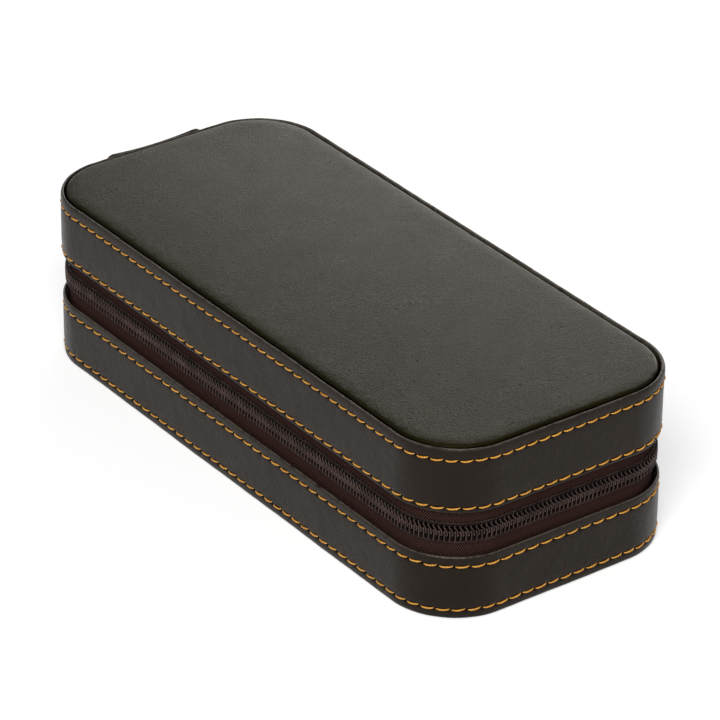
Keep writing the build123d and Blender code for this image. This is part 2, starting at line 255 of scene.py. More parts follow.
class Graph:
    """Short calls that add and join the nodes of one material."""

    def __init__(self, made):
        self.tree = made.node_tree
        self.shader = self.tree.nodes["Principled BSDF"]

    def node(self, kind, settings=None, **inputs):
        """A new node, its settings made and its inputs set or joined by name."""
        added = self.tree.nodes.new(kind)
        for key, value in (settings or {}).items():
            setattr(added, key, value)
        for key, value in inputs.items():
            self.put(added.inputs[key.replace("_", " ")], value)
        return added

    def put(self, socket, value):
        """Joins another node's socket to this one, or sets this one to a value."""
        if isinstance(value, bpy.types.NodeSocket):
            self.tree.links.new(value, socket)
        else:
            socket.default_value = value

    def math(self, operation, first, second=0.0):
        """Result of an operation on two values."""
        added = self.tree.nodes.new("ShaderNodeMath")
        added.operation = operation
        self.put(added.inputs[0], first)
        self.put(added.inputs[1], second)
        return added.outputs[0]

    def object_point(self):
        """Place on the piece, in metres."""
        return self.node("ShaderNodeTexCoord").outputs["Object"]

    def laid(self):
        """The piece's own two coordinates, apart."""
        own = self.node("ShaderNodeUVMap", {"uv_map": "laid"}).outputs[0]
        split = self.node("ShaderNodeSeparateXYZ", Vector=own)
        return split.outputs[0], split.outputs[1]

    def attribute(self, name):
        """Number that the piece carries per point under that name."""
        return self.node("ShaderNodeAttribute", {"attribute_name": name}).outputs["Fac"]

    def noise(self, point, size, detail=3.0, roughness=0.55):
        """Soft noise with blotches of about that size in metres."""
        settings = {"noise_dimensions": "3D"}
        sizes = {"Scale": 0.5 / size, "Detail": detail, "Roughness": roughness}
        return self.node("ShaderNodeTexNoise", settings, Vector=point, **sizes).outputs[0]

    def cells(self, point, size):
        """Distance from the edges of cells of that size in metres."""
        settings = {"voronoi_dimensions": "3D", "feature": "DISTANCE_TO_EDGE"}
        return self.node("ShaderNodeTexVoronoi", settings, Vector=point, Scale=1 / size).outputs["Distance"]

    def stretched(self, point, scale):
        """point scaled by axis, so that a pattern is drawn out along the axes scaled down."""
        return self.node("ShaderNodeMapping", Vector=point, Scale=scale).outputs[0]

    def total(self, first, first_weight, second, second_weight):
        """Sum of two values, each times its weight."""
        weighed = self.math("MULTIPLY", first, first_weight)
        return self.math("ADD", weighed, self.math("MULTIPLY", second, second_weight))

    def band(self, value, low, high, start=0.0, end=1.0, smooth=True):
        """value carried from low..high to start..end, held at both ends."""
        added = self.tree.nodes.new("ShaderNodeMapRange")
        added.interpolation_type = "SMOOTHSTEP" if smooth else "LINEAR"
        for index, number in enumerate((value, low, high, start, end)):
            self.put(added.inputs[index], number)
        return added.outputs[0]

    def blend(self, share, first, second):
        """Colour that goes from first to second as share goes from 0 to 1."""
        added = self.tree.nodes.new("ShaderNodeMix")
        added.data_type = "RGBA"
        self.put(added.inputs["Factor"], share)
        self.put(added.inputs[6], first if isinstance(first, bpy.types.NodeSocket) else (*first, 1))
        self.put(added.inputs[7], second if isinstance(second, bpy.types.NodeSocket) else (*second, 1))
        return added.outputs[2]

    def bump(self, height, depth, below=None):
        """Bump of a height from 0 to 1 that stands depth metres proud."""
        added = self.node("ShaderNodeBump", Height=height, Distance=depth, Strength=1.0)
        if below is not None:
            self.put(added.inputs["Normal"], below)
        return added.outputs[0]

    def colour(self, value):
        """Gives the shader its colour, as the next two give it its roughness and its normal."""
        self.put(self.shader.inputs["Base Color"], value)

    def rough(self, value):
        self.put(self.shader.inputs["Roughness"], value)

    def normal(self, value):
        self.put(self.shader.inputs["Normal"], value)


# Painted shade: colours that channels and needle holes, the tape behind the coil and the depth of the coil
# are darkened towards
GROOVE_SHADE_BROWN = (0.001, 0.0006, 0.0005)
COIL_SHADE_BROWN = (0.001, 0.0005, 0.0005)


def leather(name, dark, light, gloss, tint, crease_depth, wear_and_highlight_colour):
    """Fine-grained aniline leather: cells, pores and creases as bump, mottled brown, rubbed edges.

    The pale-edge attribute, 0 to 1, pales the edges, partly as wear and partly as a painted highlight;
    seam, 0 to 1, is painted shade that darkens channels, needle holes and creases and weakens their
    reflection.
    """
    made = material(name, Roughness=0.4, IOR=1.5, Specular_Tint=(*tint, 1.0))
    g = Graph(made)
    point = g.object_point()
    drift = g.node("ShaderNodeTexNoise", Vector=point, Scale=900.0, Detail=2.0).outputs["Color"]
    wander = g.node("ShaderNodeVectorMath", {"operation": "SCALE"}, Vector=drift, Scale=0.6 * MM)
    bent = g.node("ShaderNodeVectorMath", {"operation": "ADD"}, Vector=point)
    g.put(bent.inputs[1], wander.outputs[0])
    grain = g.band(g.cells(bent.outputs[0], 0.62 * MM), 0.0, 0.22)
    fine = g.noise(point, 0.22 * MM, 2.0)
    crease = g.band(g.noise(point, 3.4 * MM, 4.0, 0.6), 0.42, 0.6)
    mottle = g.noise(point, 9 * MM, 5.0, 0.62)
    cloud = g.noise(point, 35 * MM, 2.0)
    strand = g.noise(g.stretched(point, (1.0, 1.0, 0.12)), 0.8 * MM, 3.0, 0.6)
    tone = g.total(g.total(mottle, 0.65, strand, 0.35), 0.8, cloud, 0.25)
    body = g.blend(g.band(tone, 0.3, 0.75, smooth=False), dark, light)
    flecks = g.band(g.noise(point, 1.2 * MM, 4.0, 0.7), 0.28, 0.56)
    # wear and painted highlight: the pale edges, broken into flecks
    wear_and_highlight = g.math("MULTIPLY", g.attribute("edge_wear_and_highlight"), flecks)
    seam = g.attribute("seam")
    # painted shade: where seam is high the colour goes to the dark groove brown
    g.colour(g.blend(g.math("MULTIPLY", seam, 0.85), g.blend(wear_and_highlight, body, wear_and_highlight_colour), GROOVE_SHADE_BROWN))
    patch = g.total(g.noise(point, 5 * MM, 3.0), 0.6, strand, 0.4)
    rough = g.band(patch, 0.3, 0.7, 0.25, 0.38, smooth=False)
    rough = g.math("SUBTRACT", rough, g.math("MULTIPLY", wear_and_highlight, 0.18))
    g.rough(g.math("ADD", rough, g.math("MULTIPLY", seam, 0.12)))
    # painted shade: seam also weakens the reflection in channels, holes and creases
    g.put(g.shader.inputs["Specular IOR Level"], g.band(seam, 0.0, 1.0, gloss, gloss * 0.1, smooth=False))
    creased = g.bump(crease, crease_depth)
    grained = g.bump(grain, 0.03 * MM, creased)
    g.normal(g.bump(fine, 0.022 * MM, grained))
    return made


def thread_material():
    """Waxed golden thread: two plies twisted along each stitch, darker in the twist's valleys."""
    made = material("golden_thread", Roughness=0.5, Specular_IOR_Level=0.35)
    g = Graph(made)
    along, turn = g.laid()
    ply = g.band(g.math("SINE", g.total(along, TURN * 4.5, turn, TURN * 2)), -1.0, 0.6)
    fleck = g.noise(g.object_point(), 0.7 * MM, 3.0)
    lit = g.blend(g.band(fleck, 0.35, 0.65), (0.78, 0.36, 0.045), (0.92, 0.50, 0.085))
    # painted shade: the twist's valleys are darkened, the plies' tops keep the lit colour
    g.colour(g.blend(ply, (0.50, 0.19, 0.02), lit))
    g.normal(g.bump(ply, 0.03 * MM))
    return made


def twill(name, dark, light, rib=0.78 * MM, slope=0.9):
    """Woven tape: fine ribs that slant one way, then the other, crossed by finer picks.

    The attribute deep, 0 to 1, paints shade on the tape behind the coil.
    """
    made = material(name, Roughness=0.9, Specular_IOR_Level=0.05)
    g = Graph(made)
    along, up = g.laid()
    fold = g.math("PINGPONG", up, 2.2 * MM)
    drift = g.math("MULTIPLY", g.noise(g.object_point(), 3 * MM), 0.3 * MM)
    lean = g.math("ADD", g.math("MULTIPLY", fold, slope), drift)
    ribs = g.math("SINE", g.math("MULTIPLY", g.math("ADD", along, lean), TURN / rib))
    picks = g.math("SINE", g.math("MULTIPLY", up, TURN / (0.4 * MM)))
    weave = g.band(g.math("ADD", ribs, g.math("MULTIPLY", picks, 0.2)), -0.9, 0.9)
    shade = g.math("MULTIPLY", g.attribute("deep"), 0.9)
    g.colour(g.blend(shade, g.blend(weave, dark, light), GROOVE_SHADE_BROWN))
    pile = g.bump(g.noise(g.object_point(), 0.2 * MM, 2.0), 0.03 * MM)
    g.normal(g.bump(weave, 0.12 * MM, pile))
    return made


def suede(name, dark, light):
    """Short-pile suede: brushed patches of light and dark over a dense fine nap."""
    made = material(name, Roughness=0.95, Specular_IOR_Level=0.15, Sheen_Weight=0.35, Sheen_Roughness=0.45)
    g = Graph(made)
    point = g.object_point()
    brushed = g.noise(point, 6 * MM, 5.0, 0.65)
    nap = g.noise(point, 0.25 * MM, 3.0, 0.7)
    g.colour(g.blend(g.band(g.total(brushed, 0.75, nap, 0.3), 0.32, 0.72), dark, light))
    g.normal(g.bump(nap, 0.09 * MM, g.bump(brushed, 0.2 * MM)))
    return made


def nylon(name, dark, light):
    """Nylon monofilament, faintly blotched, dark and dull where the attribute deep is over a half."""
    made = material(name, Roughness=0.42, Specular_IOR_Level=0.25)
    g = Graph(made)
    face = g.blend(g.band(g.noise(g.object_point(), 2 * MM, 3.0), 0.35, 0.65), dark, light)
    # painted shade: the legs behind are darkened and dulled towards the coil's dark brown
    deep = g.attribute("deep")
    g.colour(g.blend(g.band(deep, 0.15, 0.55), face, COIL_SHADE_BROWN))
    g.rough(g.band(deep, 0.15, 0.55, 0.42, 0.9))
    g.normal(g.bump(g.noise(g.object_point(), 0.3 * MM, 2.0), 0.01 * MM))
    return made


def metal(name, dark, light, roughness):
    """Dark nickel plate with fine brushing, small dents and duller patches."""
    made = material(name, Metallic=1.0, Roughness=roughness)
    g = Graph(made)
    point = g.object_point()
    brushing = g.noise(g.stretched(point, (1.0, 0.06, 1.0)), 0.12 * MM, 2.0)
    patch = g.noise(point, 4 * MM, 4.0)
    g.colour(g.blend(g.band(patch, 0.35, 0.65), dark, light))
    g.rough(g.band(patch, 0.3, 0.7, roughness - 0.08, roughness + 0.1, smooth=False))
    dents = g.bump(g.noise(point, 1.5 * MM, 2.0), 0.02 * MM)
    g.normal(g.bump(brushing, 0.006 * MM, dents))
    return made


def pressed_board(name, dark, light):
    """Hard pressed board with a fibrous, slightly uneven face."""
    made = material(name, Roughness=0.85, Specular_IOR_Level=0.2)
    g = Graph(made)
    point = g.object_point()
    fibre = g.noise(g.stretched(point, (1.0, 0.2, 1.0)), 0.4 * MM, 4.0, 0.7)
    g.colour(g.blend(g.band(fibre, 0.3, 0.7), dark, light))
    g.normal(g.bump(fibre, 0.06 * MM))
    return made


BAND_LEATHER = leather(
    "band_leather",
    dark=(0.0060, 0.0029, 0.0026),
    light=(0.0128, 0.0078, 0.0066),
    gloss=0.2,
    tint=(1.0, 0.93, 0.72),
    crease_depth=0.05 * MM,
    # pale edges, partly edge wear and partly painted highlight
    wear_and_highlight_colour=(0.085, 0.072, 0.056),
)
TOP_LEATHER = leather(
    "top_leather",
    dark=(0.0110, 0.0088, 0.0022),
    light=(0.0192, 0.0160, 0.0044),
    gloss=0.13,
    tint=(1.0, 0.92, 0.48),
    crease_depth=0.01 * MM,
    # painted highlight: the beige line along the top's far edges
    wear_and_highlight_colour=(0.80, 0.72, 0.54),
)
THREAD = thread_material()
TAPE = twill("zip_tape_twill", dark=(0.0060, 0.0020, 0.0016), light=(0.068, 0.0330, 0.0275))
RIBBON = twill(
    "ribbon_weave", dark=(0.012, 0.008, 0.007), light=(0.035, 0.024, 0.020), rib=0.9 * MM, slope=0.0
)
COIL = nylon("coil_nylon", dark=(0.036, 0.0190, 0.0155), light=(0.074, 0.0430, 0.0350))
COIL_THREAD = nylon("coil_sewing_thread", dark=(0.026, 0.015, 0.012), light=(0.055, 0.034, 0.028))
LINING = suede("lining_suede", dark=(0.050, 0.036, 0.028), light=(0.115, 0.086, 0.068))
CUSHION = suede("cushion_suede", dark=(0.085, 0.064, 0.049), light=(0.170, 0.132, 0.104))
METAL = metal("dark_nickel", dark=(0.20, 0.185, 0.17), light=(0.34, 0.32, 0.30), roughness=0.32)
BOARD = pressed_board("wrapped_board", dark=(0.012, 0.009, 0.008), light=(0.030, 0.024, 0.021))


def dress(piece, finish, body=None, replaces=()):
    """Gives a new piece its finish, body and the CAD nodes it stands for."""
    piece.data.materials.clear()
    piece.data.materials.append(finish)
    if replaces:
        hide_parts(*replaces)
    if body:
        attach(piece, body)
    return piece


# ------------------------------ leather bands

# Stitch rows: height, place of a first stitch, pitch and how much the pitch tightens per stitch
ROWS = {
    "lid_upper": (47.3 * MM, 53.86 * MM, 4.161 * MM, -0.00259 * MM),
    "lid_lower": (33.25 * MM, 55.05 * MM, 4.250 * MM, 0.0),
    "base_upper": (15.75 * MM, 55.44 * MM, 4.312 * MM, 0.0),
    "base_lower": (2.7 * MM, 54.44 * MM, 4.210 * MM, 0.0),
}

# Half width of the channel that a row of stitches presses into the leather
CHANNEL = 0.42 * MM

# Height where the rim's lean on the right starts, where it is full, and how far it goes
RIM_LEAN = (43 * MM, 50 * MM, 0.35 * MM)


def stitch_middles(row):
    """Middles of a row's stitches: start + pitch * k + tightening * k squared, with k's own sign."""
    _, first, pitch, tighten = ROWS[row]
    k = np.arange(-12, 140)
    middles = first + pitch * k + tighten * k * np.abs(k)
    return k[middles < PERIMETER], middles[middles < PERIMETER]


def edge_section(inner, bead, tall, level, way):
    """Rolled free edge of the leather, from the outer wall over a small bead to the inner face.

    The outside leans in over an ellipse quarter that is tall high; way is the direction of the edge.
    """
    lean = arc((inner - 2 * bead, 0), (inner - 2 * bead, tall), 180, 98, 9)
    roll = arc((inner - bead, 0), (bead, bead), 165, 0, 8)
    foot = level - way * (tall + 0.2 * MM)
    lean[:, 1] = foot + way * lean[:, 1]
    roll[:, 1] = level - way * bead + way * roll[:, 1]
    return np.concatenate([lean, roll])


def band_section(mouth, rim):
    """Section of a leather band, as inset and height: free edges at mouth and rim, thick between."""
    way = 1 if rim > mouth else -1
    bottom = edge_section(inner=0.72 * MM, bead=0.24 * MM, tall=0.7 * MM, level=mouth, way=-way)
    top = edge_section(inner=1.0 * MM, bead=0.31 * MM, tall=1.9 * MM, level=rim, way=way)
    wall = np.stack([np.zeros(36), np.linspace(bottom[0, 1], top[0, 1], 38)[1:-1]], -1)
    inside = np.array([(1.0, 2.25), (BAND / MM, 2.6), (BAND / MM, 9.0)]) * MM
    upper = np.stack([inside[:, 0], rim - way * inside[:, 1]], -1)
    lower = np.stack([inside[::-1, 0], mouth + way * inside[::-1, 1] * 0.7], -1)
    return np.concatenate([bottom[::-1], wall, top, upper, lower])


def right_lean(points, low, high, amount):
    """Moves points of the right side along x by amount times a smooth step from height low to high.

    The outer face of the lid's rim leans out there, and the padded top keeps back from it.
    """
    rise = np.clip((points[..., 2] - low) / (high - low), 0, 1)
    side = np.clip((points[..., 0] - 20 * MM) / (20 * MM), 0, 1)
    points[..., 0] += amount * rise**2 * (3 - 2 * rise) * side**2 * (3 - 2 * side)
    return points


def band_leather(name, mouth, rim, rows):
    """Leather band: its section carried round the outline, dented along the stitch rows.

    Each row draws the leather in along a channel, deepest at the needle holes, where seam paints
    shade; slow waves keep the long runs from being ruler-straight. The edges are painted pale,
    partly as wear and partly as a painted highlight, more on the far and right sides.
    """
    section = band_section(mouth, rim)
    t = stations(1230)
    inset = np.broadcast_to(section[:, 0], (len(t), len(section))).copy()
    height = np.broadcast_to(section[:, 1], inset.shape).copy()
    outside = np.clip(1 - section[:, 0] / (0.6 * MM), 0, 1)
    seam = np.zeros_like(inset)
    for row in rows:
        level = ROWS[row][0]
        near = bell(section[:, 1] - level, CHANNEL) * outside
        wide = bell(section[:, 1] - level, 1.6 * MM) * outside
        k, middles = stitch_middles(row)
        hole = 0.5 - 0.5 * np.cos(TURN * np.interp(t, middles, k))
        inset += near * (0.12 * MM + 0.30 * MM * (hole**4)[:, None]) + wide * 0.09 * MM
        # painted shade: seam marks the channel, most of all at the needle holes
        seam += near * (0.35 + 0.65 * hole**4)[:, None]
    turn = TURN * t / PERIMETER
    wave = 0.05 * MM * np.sin(7 * turn + 1.3) + 0.04 * MM * np.sin(17 * turn + 0.4)
    fine = 0.03 * MM * np.sin(61 * turn + 2.0)
    height += np.where(np.abs(section[:, 1] - rim) < 2.5 * MM, 1, 0) * (wave + fine)[:, None] * 0.8
    inset += outside * (wave[:, None] * 0.6 + 0.02 * MM)
    edge = np.minimum(np.abs(section[:, 1] - rim), np.abs(section[:, 1] - mouth))
    # wear and painted highlight: the rolled edges are painted pale, wider on the far and right sides
    bead = bell(edge, 0.26 * MM) * np.where(section[:, 0] < 0.9 * MM, 1, 0.4)
    far_side_share = np.clip(outline(t)[1].sum(-1), 0, 1)[:, None]
    bead = np.maximum(bead, 0.9 * far_side_share * bell(edge, 0.9 * MM))
    low, high, amount = RIM_LEAN
    outer = np.clip(1.6 - section[:, 0] / (0.625 * MM), 0, 1)
    points = right_lean(round_points(t[:, None], inset, height), low, high, amount * outer)
    laid = (np.append(t, PERIMETER), np.append(lengths(section), lengths(section)[-1] + 1 * MM))
    values = {"edge_wear_and_highlight": bead, "seam": np.clip(seam, 0, 1)}
    return surface(name, points, True, True, flip=rim < mouth, laid=laid, values=values)


lid_leather = band_leather("lid_band_leather", LID_BOTTOM, LID_TOP + 0.2 * MM, ("lid_upper", "lid_lower"))
dress(lid_leather, BAND_LEATHER, "lid", ("lid_side_band",))
base_leather = band_leather("base_band_leather", BASE_TOP, 0.0, ("base_upper", "base_lower"))
dress(base_leather, BAND_LEATHER, "base", ("base_side_band",))

THREAD_RADIUS = 0.235 * MM
STITCH_REACH = 0.425  # half a stitch, as a share of the pitch
STITCH_LEAN = 5.5  # degrees


def stitch_row(name, row, middle, proud=0.0):
    """Saddle stitches of a row at middles round the case, threads that dive in at both ends.

    Along each stitch the thread rises from the leather as a root of a cosine and sags a little, and
    it leans so that its leading end stands higher; every stitch differs a little from the next.
    """
    level = ROWS[row][0]
    pitch = np.gradient(middle)
    number = len(middle)
    share = np.linspace(-1, 1, 8)
    half = pitch * STITCH_REACH * (1 + chance.normal(0, 0.02, number))
    lean = np.tan(np.radians(STITCH_LEAN + chance.normal(0, 1.5, number)))
    along = half[:, None] * share
    arch = np.abs(np.cos(share * math.pi / 2))
    rise = arch**0.5
    out = proud + (-0.48 + 0.43 * rise) * MM + chance.normal(0, 0.015 * MM, number)[:, None]
    up = along * lean[:, None] - 0.14 * MM * rise + chance.normal(0, 0.04 * MM, number)[:, None]
    path = right_lean(round_points(middle[:, None] + along, -out, level + 0.07 * MM + up), *RIM_LEAN)
    _, outward = outline(middle[:, None] + along)
    across = np.concatenate([outward, np.zeros_like(outward[..., :1])], -1)
    thick = THREAD_RADIUS * (0.66 + 0.34 * arch**0.6)
    return tubes(name, path, across, thick * (1 + chance.normal(0, 0.03, number))[:, None])


FLAP_MIDDLES = np.linspace(-14.6, 14.6, 8) * MM
FLAP_PROUD = 1.72 * MM
FLAP_CLEAR = FLAP_HALF + 1 * MM

for row in ROWS:
    body = row.split("_")[0]
    _, middles = stitch_middles(row)
    clear = middles[(middles > FLAP_CLEAR) & (middles < PERIMETER - FLAP_CLEAR)]
    dress(stitch_row(f"{row}_stitches", row, clear), THREAD, body)
    dress(stitch_row(f"{row}_flap_stitches", row, FLAP_MIDDLES, FLAP_PROUD), THREAD, body)


# ------------------------------ padded top and bottom


def edge_distance(x, y, inset):
    """Distance in from the edge of the rounded rectangle at an inset, at points of the plane."""
    radius = CORNER - inset
    dx = np.abs(x) - FRONT_RUN / 2
    dy = np.abs(y) - SIDE_RUN / 2
    outside = np.hypot(np.maximum(dx, 0), np.maximum(dy, 0)) + np.minimum(np.maximum(dx, dy), 0)
    return radius - outside


PANEL_EDGE = 1.35 * MM
TOP_FOOT = 49.2 * MM
TOP_UNDER = 48.25 * MM


def top_height(x, y):
    """Height of the padded top: a quick roll at its edge, a soft shoulder, then a long low dome."""
    edge = np.maximum(edge_distance(x, y, PANEL_EDGE), 0)
    roll = rolled(edge, 1.25 * MM)
    crown = rolled(edge, 4.5 * MM)
    dome = (1 - (x / (43 * MM)) ** 2) * (1 - (y / (98 * MM)) ** 2)
    slow = np.sin(x / (31 * MM) + 0.7) * np.sin(y / (43 * MM) + 0.2)
    pucker = np.sin(y / (2.3 * MM)) * np.sin(x / (2.9 * MM) + 1) + np.sin(y / (0.9 * MM) + x / (1.3 * MM))
    uneven = 0.05 * slow * crown + 0.035 * pucker * np.exp(-edge / (1.6 * MM)) * roll
    return TOP_FOOT + (1.3 * roll + 0.6 * crown + 0.6 * dome + uneven) * MM


def top_leather():
    """Padded leather top: rings in from the edge, then scaled to the middle, closed underneath.

    Its edge is painted pale on the two far sides, a painted highlight, and painted dark on the near ones, a
    painted shade in the crease.
    """
    t = stations(1100)
    inward = np.concatenate([np.linspace(0, 1, 14) ** 1.6 * 2.4 * MM, np.linspace(3.0, 14, 14) * MM])
    rows = [round_points(t, PANEL_EDGE + i, 0.0) for i in inward]
    rows += scaled_rings(rows[-1], np.linspace(1, 0, 22)[1:])
    points = np.stack(rows, 1)
    points[..., 2] = top_height(points[..., 0], points[..., 1])
    low = round_points(t, PANEL_EDGE + 0.02 * MM, TOP_UNDER)
    under = scaled_rings(low, np.linspace(0, 1, 6))
    points = np.concatenate([np.stack(under, 1), points], 1)
    steps = np.arange(points.shape[1] + 1) * 2 * MM
    edge = np.maximum(edge_distance(points[..., 0], points[..., 1], PANEL_EDGE), 0)
    facing = outline(t)[1].sum(-1)[:, None]
    far_side_share = np.clip(facing + 0.15, 0, 1)
    # painted highlight: a pale line along the edge of the far and right sides
    edge_wear_and_highlight = far_side_share * bell(edge - 0.6 * MM, 0.27 * MM)
    edge_wear_and_highlight *= points[..., 2] > TOP_FOOT + 0.1 * MM
    # painted shade: the edge of the near sides is darkened through seam, as in a crease
    creased = 0.95 * bell(edge, 0.6 * MM) + 0.15 * bell(edge, 1.6 * MM)
    creased = (1 - far_side_share) * creased + 0.25 * bell(edge, 0.3 * MM)
    points = right_lean(points, 30 * MM, 48 * MM, -0.3 * MM)
    laid = (np.append(t, PERIMETER), steps)
    return surface("lid_top_leather", points, True, laid=laid, values={"edge_wear_and_highlight": edge_wear_and_highlight, "seam": creased})


top = dress(top_leather(), TOP_LEATHER, "lid", ("lid_top_panel",))


# ------------------------------ zip

TAPE_INSET = 1.95 * MM
TAPE_THICK = 0.48 * MM
TAPE_LOW, TAPE_HIGH = 11.6 * MM, 38.8 * MM  # behind the bands
TAPE_GAP = 0.6 * MM  # from the zip's middle to each tape's edge
COIL_INSET = 1.22 * MM
COIL_RADIUS = 0.175 * MM
COIL_DEPTH = 0.30 * MM
HEAD, HEEL = -0.62 * MM, 2.4 * MM  # from the zip's middle, towards each tape
PITCH = 1.37 * MM


def at_inset(inset, start, end, pitch):
    """Distances round the outline, their running lengths at an inset and how many pitches fit."""
    t = np.linspace(start, end, 4000)
    flat, outward = outline(t)
    run = lengths(flat - inset * outward)
    return t, run, int(round(run[-1] / pitch))


def zip_tape(name, body, low, high, node):
    """Woven tape: a thin flat section with thicker woven edges, carried from flap end to flap end."""
    across = np.linspace(0, 1, 20)
    sunk = 0.06 * MM * (1 - bell(1 - across, 0.05) - bell(across, 0.05))
    outer = np.stack([TAPE_INSET + sunk, low + (high - low) * across], -1)
    inner = np.stack([np.full(12, TAPE_INSET + TAPE_THICK), np.linspace(high, low, 12)], -1)
    section = np.concatenate([outer, inner])
    t = stations(640, TAPE_END, PERIMETER - TAPE_END)
    points = round_points(t[:, None], section[:, 0], section[:, 1])
    caps = np.broadcast_to(points.mean(1, keepdims=True), points.shape)
    points = np.concatenate([caps[:1], points, caps[-1:]])
    run = np.concatenate([[t[0]], t, [t[-1]], [t[-1]]])
    laid = (run, np.append(lengths(section), lengths(section)[-1] + 0.5 * MM))
    # painted shade: the tape is darkened next to the coil, by height from the zip's middle
    deep = np.clip((2.75 * MM - np.abs(points[..., 2] - MIDDLE)) / (0.5 * MM), 0, 1)
    weave = surface(name, points, False, True, laid=laid, values={"deep": deep})
    return dress(weave, TAPE, body, (node,))


zip_tape("base_tape_weave", "base", TAPE_LOW, MIDDLE - TAPE_GAP, "base_zip_tape")
zip_tape("lid_tape_weave", "lid", MIDDLE + TAPE_GAP, TAPE_HIGH, "lid_zip_tape")


def coil(name, body, way, slant, sink, nodes):
    """Half of the coil: one monofilament wound flat, its heads past the zip's middle line.

    With the phase going round once a pitch, the filament swings between its head and its heel as a
    cosine squared off by a power, and stands off the tape as a sine, most at the head. It moves on
    along the tape mostly in the legs behind; slant leans the legs in front over towards the heel,
    and sink sets the heads deeper. The heads are pressed wider, by a bell round the head's end.
    away is the distance from the zip's middle line; way is 1 for the lid's half, -1 for the base's.
    """
    t, run, count = at_inset(COIL_INSET, CHAIN_START, CHAIN_END, PITCH)
    turns, sides = 12, 6
    phase = np.arange(count * turns + 1) / turns
    swing, stand = np.cos(TURN * phase), np.sin(TURN * phase)
    away = (HEAD + HEEL) / 2 - (HEEL - HEAD) / 2 * squarish(swing, 0.7)
    front = np.clip(squarish(stand + 0.8 * np.maximum(swing, 0) ** 2, 0.55), -1, 1)
    lean = np.clip((away - 0.6 * MM) / (HEEL - 0.6 * MM), 0, 1)
    lift = COIL_INSET - COIL_DEPTH * front + sink * (1 - lean)
    step = phase + 0.95 * swing / TURN + (1 - way) / 4 - slant * lean * (1 + front) / 2
    place = np.interp(step * run[-1] / count, run, t)
    path = round_points(place, lift, MIDDLE + way * away)[None]
    _, outward = outline(place)
    across = np.stack([-outward[:, 1], outward[:, 0], np.zeros(len(outward))], -1)[None]
    thick = COIL_RADIUS * (1 + 0.5 * bell(away - HEAD, 0.32 * MM))
    piece = tubes(name, path, across, thick, sides, flat=0.9)
    # painted shade: the legs behind the front are marked deep, to be darkened
    behind = np.repeat((1 - front) / 2, sides)[: len(piece.data.vertices)]
    deep = piece.data.attributes.new("deep", "FLOAT", "POINT")
    deep.data.foreach_set("value", behind.astype(np.float32))
    return dress(piece, COIL, body, nodes)


coil("base_coil_filament", "base", -1, 0.1, 0.0, ("base_zip_coil", "base_zip_coil_side"))
coil("lid_coil_filament", "lid", 1, 1.0, 0.03 * MM, ("lid_zip_coil", "lid_zip_coil_side"))


def coil_stitching(name, body, way):
    """Two sewing threads that hold a coil half to its tape, rising over each leg of the coil."""
    t, run, count = at_inset(COIL_INSET, CHAIN_START, CHAIN_END, PITCH)
    phase = np.arange(count * 4 + 1) / 4
    place = np.interp(phase * run[-1] / count, run, t)
    _, outward = outline(place)
    outward = np.concatenate([outward, np.zeros_like(outward[:, :1])], -1)
    paths = []
    for away in (2.62 * MM, 2.86 * MM):
        lift = 1.5 * MM + 0.28 * MM * np.cos(TURN * (phase + away / (0.5 * MM)))
        level = MIDDLE + way * (away + 0.12 * MM * np.sin(TURN * phase))
        paths.append(round_points(place, lift, level))
    threads = tubes(name, np.stack(paths), outward, 0.11 * MM, sides=4)
    return dress(threads, COIL_THREAD, body)


coil_stitching("base_coil_stitching", "base", -1)
coil_stitching("lid_coil_stitching", "lid", 1)

METAL_NODES = ("zip_slider_body", "zip_slider_bridge", "zip_pull_tab", "base_zip_stops", "lid_zip_stops")
KEPT_NODES = {METAL: METAL_NODES, BOARD: ("base_shell", "lid_shell"), TOP_LEATHER: ("base_bottom_panel",)}

for finish, nodes in KEPT_NODES.items():
    for node in nodes:
        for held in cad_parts[node].material_slots:
            held.material = finish


# ------------------------------ hinge flap and ribbon


def slab(name, x, low, high, middle, half, rounding, rows, sunk=()):
    """Slab between a lower and an upper edge curve over x, rounded all round its faces.

    Each point's half thickness is an ellipse quarter of its distance to the nearest edge; front
    and back meet at the edges. The far face is drawn in a little along each sunk height, where
    seam paints shade; the rounded edges are painted pale, partly as wear and partly as a painted
    highlight.
    """
    v = (1 - np.cos(np.linspace(0, math.pi, rows))) / 2
    z = low + (high - low) * v[:, None]
    across = np.broadcast_to(x, z.shape)
    edge = np.minimum(np.minimum(across - x[0], x[-1] - across), np.minimum(z - low, high - z))
    thick = half * rolled(np.maximum(edge, 0), rounding)
    seam = np.zeros_like(thick)
    for level in sunk:
        seam += bell(z - level, CHANNEL)
    front = np.stack([across, middle + thick * (1 - 0.2 * seam), z], -1)
    rear = np.stack([across, middle - thick, z], -1)[:, ::-1][:, 1:-1]
    points = np.concatenate([front, rear], 1)
    laid = (np.append(z[:, len(x) // 2], 0), np.concatenate([x, x[::-1][1:-1], x[:1]]))
    # painted shade along the sunk rows, on the far face
    seam = np.concatenate([seam * 0.6, np.zeros(rear.shape[:2])], 1)
    # wear and painted highlight: the rounded edges are painted pale
    wear_and_highlight = np.where(np.abs(points[..., 1] - middle) < half * 0.6, 0.5, 0.0)
    return surface(name, points, False, True, laid=laid, values={"edge_wear_and_highlight": wear_and_highlight, "seam": seam})


def round_corners(x, half, corner):
    """How far an edge over x drops at both ends, along quarter circles of the corner's radius."""
    past = np.clip(np.abs(x) - (half - corner), 0, corner)
    return corner - np.sqrt(corner**2 - past**2)


